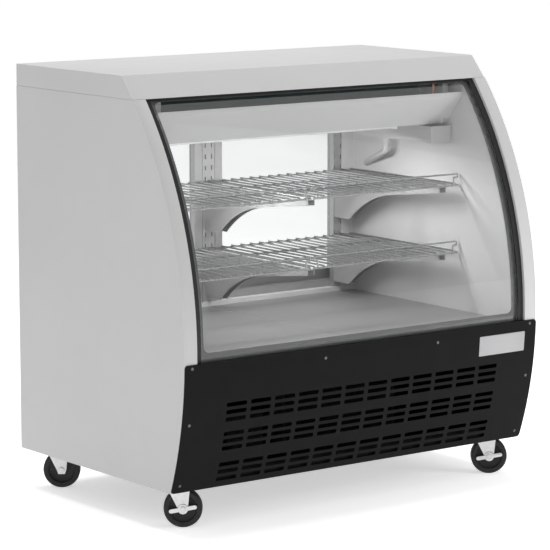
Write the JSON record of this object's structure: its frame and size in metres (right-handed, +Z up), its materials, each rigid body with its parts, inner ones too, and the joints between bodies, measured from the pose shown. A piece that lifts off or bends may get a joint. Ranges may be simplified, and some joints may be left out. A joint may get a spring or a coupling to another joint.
{
  "type": "refrigerated bakery display case",
  "caption": "Floor-standing refrigerated bakery display case with curved front glass, lift-out wire shelves, rear sliding glass doors, a louvred front panel and swivel casters.",
  "frame": {"origin": "on the floor under the middle of the case's overall box", "axes": "+X to the viewer's right when facing the curved front, +Y from the front glass to the rear doors, +Z up"},
  "size_m": [1.2, 0.7881, 1.172],
  "materials": {
    "badge": "brushed plate with a clear coat",
    "black_paint": "gloss black powder coat",
    "black_plastic": "moulded, matte",
    "bracket_paint": "satin light powder coat",
    "brake_steel": "zinc plate",
    "button_rubber": "soft matte key",
    "casing_paint": "satin light grey powder coat",
    "coil_fins": "coated fins",
    "compressor_black": "satin black enamel",
    "condenser_fins": "thin black-coated fins",
    "control_plastic": "fine textured",
    "copper": "drawn copper tube, slightly dulled",
    "deck_steel": "satin stainless sheet",
    "door_aluminium": "satin anodised",
    "door_glass": "clear flat glass",
    "drain_plastic": "moulded, satin white",
    "fan_plastic": "moulded, satin",
    "frame_black": "satin black paint",
    "front_glass": "clear bent glass",
    "glass_print": "ceramic print behind the glass",
    "lamp_plastic": "frosted tube",
    "liner_white": "satin white powder coat",
    "motor_plastic": "moulded, matte",
    "post_steel": "fine brushed stainless",
    "rail_aluminium": "satin extrusion",
    "screw_steel": "bright cross-recessed heads",
    "seal_rubber": "extruded black seal",
    "shelf_wire": "bright plated wire",
    "switch_plastic": "glossy rocker",
    "track_plastic": "extruded, satin",
    "wheel_rubber": "solid black tread",
    "zinc": "bright zinc plate"
  },
  "bodies": {
    "cabinet": {"badge_plate": "badge", "base_frame": "frame_black", "cabinet_floor": "liner_white", "cable_gland": "black_plastic", "caster_plates": "zinc", "compressor": "compressor_black", "condensate_tray": "black_plastic", "condenser_coil": "condenser_fins", "condenser_mount": "frame_black", "controller": "control_plastic", "door_tracks": "track_plastic", "drain_pipe": "drain_plastic", "drain_trough": "drain_plastic", "drip_pan": "liner_white", "evaporator_coil": "coil_fins", "evaporator_fan_motors": "motor_plastic", "evaporator_tubes": "copper", "front_glass": "front_glass", "front_panel": "black_paint", "front_panel_screws": "screw_steel", "glass_border": "glass_print", "glass_gasket": "seal_rubber", "glass_rail": "rail_aluminium", "led_light": "lamp_plastic", "left_side_panel": "casing_paint", "left_wall_liner": "liner_white", "rear_frame": "liner_white", "rear_grille": "black_paint", "right_side_panel": "casing_paint", "right_wall_liner": "liner_white", "shelf_brackets": "bracket_paint", "slotted_posts": "post_steel", "top_cap": "casing_paint"},
    "condenser_fan": {"condenser_fan": "fan_plastic"},
    "defrost_button": {"defrost_button": "button_rubber"},
    "front_left_brake": {"front_left_brake": "brake_steel"},
    "front_left_caster": {"front_left_fork": "zinc"},
    "front_left_wheel": {"front_left_wheel": "wheel_rubber"},
    "front_right_brake": {"front_right_brake": "brake_steel"},
    "front_right_caster": {"front_right_fork": "zinc"},
    "front_right_wheel": {"front_right_wheel": "wheel_rubber"},
    "left_deck_pan": {"left_deck_pan": "deck_steel"},
    "left_door": {"left_door_frame": "door_aluminium", "left_door_glass": "door_glass"},
    "left_evaporator_fan": {"left_evaporator_fan": "fan_plastic"},
    "light_switch": {"light_switch": "switch_plastic"},
    "lower_left_shelf": {"lower_left_shelf": "shelf_wire"},
    "lower_right_shelf": {"lower_right_shelf": "shelf_wire"},
    "rear_left_caster": {"rear_left_fork": "zinc"},
    "rear_left_wheel": {"rear_left_wheel": "wheel_rubber"},
    "rear_right_caster": {"rear_right_fork": "zinc"},
    "rear_right_wheel": {"rear_right_wheel": "wheel_rubber"},
    "right_deck_pan": {"right_deck_pan": "deck_steel"},
    "right_door": {"right_door_frame": "door_aluminium", "right_door_glass": "door_glass"},
    "right_evaporator_fan": {"right_evaporator_fan": "fan_plastic"},
    "set_button": {"set_button": "button_rubber"},
    "upper_left_shelf": {"upper_left_shelf": "shelf_wire"},
    "upper_right_shelf": {"upper_right_shelf": "shelf_wire"}
  },
  "joints": [
    {"name": "left_door_slide", "type": "slide", "parent": "cabinet", "child": "left_door", "axis": [1, 0, 0], "range_m": [0, 0.42]},
    {"name": "right_door_slide", "type": "slide", "parent": "cabinet", "child": "right_door", "axis": [1, 0, 0], "range_m": [-0.42, 0]},
    {"name": "upper_left_shelf_lift", "type": "slide", "parent": "cabinet", "child": "upper_left_shelf", "axis": [0, 0, 1], "range_m": [0, 0.02]},
    {"name": "upper_right_shelf_lift", "type": "slide", "parent": "cabinet", "child": "upper_right_shelf", "axis": [0, 0, 1], "range_m": [0, 0.02]},
    {"name": "lower_left_shelf_lift", "type": "slide", "parent": "cabinet", "child": "lower_left_shelf", "axis": [0, 0, 1], "range_m": [0, 0.04]},
    {"name": "lower_right_shelf_lift", "type": "slide", "parent": "cabinet", "child": "lower_right_shelf", "axis": [0, 0, 1], "range_m": [0, 0.04]},
    {"name": "left_deck_pan_lift", "type": "slide", "parent": "cabinet", "child": "left_deck_pan", "axis": [0, 0, 1], "range_m": [0, 0.025]},
    {"name": "right_deck_pan_lift", "type": "slide", "parent": "cabinet", "child": "right_deck_pan", "axis": [0, 0, 1], "range_m": [0, 0.025]},
    {"name": "left_evaporator_fan_spin", "type": "hinge", "parent": "cabinet", "child": "left_evaporator_fan", "pos_m": [-0.24, 0.112, 1.01], "axis": [0, 0, 1], "continuous": true},
    {"name": "right_evaporator_fan_spin", "type": "hinge", "parent": "cabinet", "child": "right_evaporator_fan", "pos_m": [0.2, 0.112, 1.01], "axis": [0, 0, 1], "continuous": true},
    {"name": "condenser_fan_spin", "type": "hinge", "parent": "cabinet", "child": "condenser_fan", "pos_m": [0, -0.196, 0.27], "axis": [0, 1, 0], "continuous": true},
    {"name": "light_switch_rock", "type": "hinge", "parent": "cabinet", "child": "light_switch", "pos_m": [0.49, 0.384, 0.35], "axis": [1, 0, 0], "range_deg": [-10, 0]},
    {"name": "set_button_press", "type": "slide", "parent": "cabinet", "child": "set_button", "axis": [0, -1, 0], "range_m": [0, 0.0012], "stiffness_N_per_m": 200},
    {"name": "defrost_button_press", "type": "slide", "parent": "cabinet", "child": "defrost_button", "axis": [0, -1, 0], "range_m": [0, 0.0012], "stiffness_N_per_m": 200},
    {"name": "front_left_swivel", "type": "hinge", "parent": "cabinet", "child": "front_left_caster", "pos_m": [-0.53, -0.262, 0.119], "axis": [0, 0, 1], "continuous": true},
    {"name": "front_left_roll", "type": "hinge", "parent": "front_left_caster", "child": "front_left_wheel", "pos_m": [-0.52042, -0.26922, 0.051], "axis": [0.6018, 0.7986, 0], "continuous": true},
    {"name": "front_left_brake_rock", "type": "hinge", "parent": "front_left_caster", "child": "front_left_brake", "pos_m": [-0.52042, -0.26922, 0.051], "axis": [0.6018, 0.7986, 0], "range_deg": [0, 20]},
    {"name": "front_right_swivel", "type": "hinge", "parent": "cabinet", "child": "front_right_caster", "pos_m": [0.53, -0.262, 0.119], "axis": [0, 0, 1], "continuous": true},
    {"name": "front_right_roll", "type": "hinge", "parent": "front_right_caster", "child": "front_right_wheel", "pos_m": [0.53958, -0.26922, 0.051], "axis": [0.6018, 0.7986, 0], "continuous": true},
    {"name": "front_right_brake_rock", "type": "hinge", "parent": "front_right_caster", "child": "front_right_brake", "pos_m": [0.53958, -0.26922, 0.051], "axis": [0.6018, 0.7986, 0], "range_deg": [0, 20]},
    {"name": "rear_left_swivel", "type": "hinge", "parent": "cabinet", "child": "rear_left_caster", "pos_m": [-0.53, 0.318, 0.119], "axis": [0, 0, 1], "continuous": true},
    {"name": "rear_left_roll", "type": "hinge", "parent": "rear_left_caster", "child": "rear_left_wheel", "pos_m": [-0.52042, 0.31078, 0.051], "axis": [0.6018, 0.7986, 0], "continuous": true},
    {"name": "rear_right_swivel", "type": "hinge", "parent": "cabinet", "child": "rear_right_caster", "pos_m": [0.53, 0.318, 0.119], "axis": [0, 0, 1], "continuous": true},
    {"name": "rear_right_roll", "type": "hinge", "parent": "rear_right_caster", "child": "rear_right_wheel", "pos_m": [0.53958, 0.31078, 0.051], "axis": [0.6018, 0.7986, 0], "continuous": true}
  ]
}
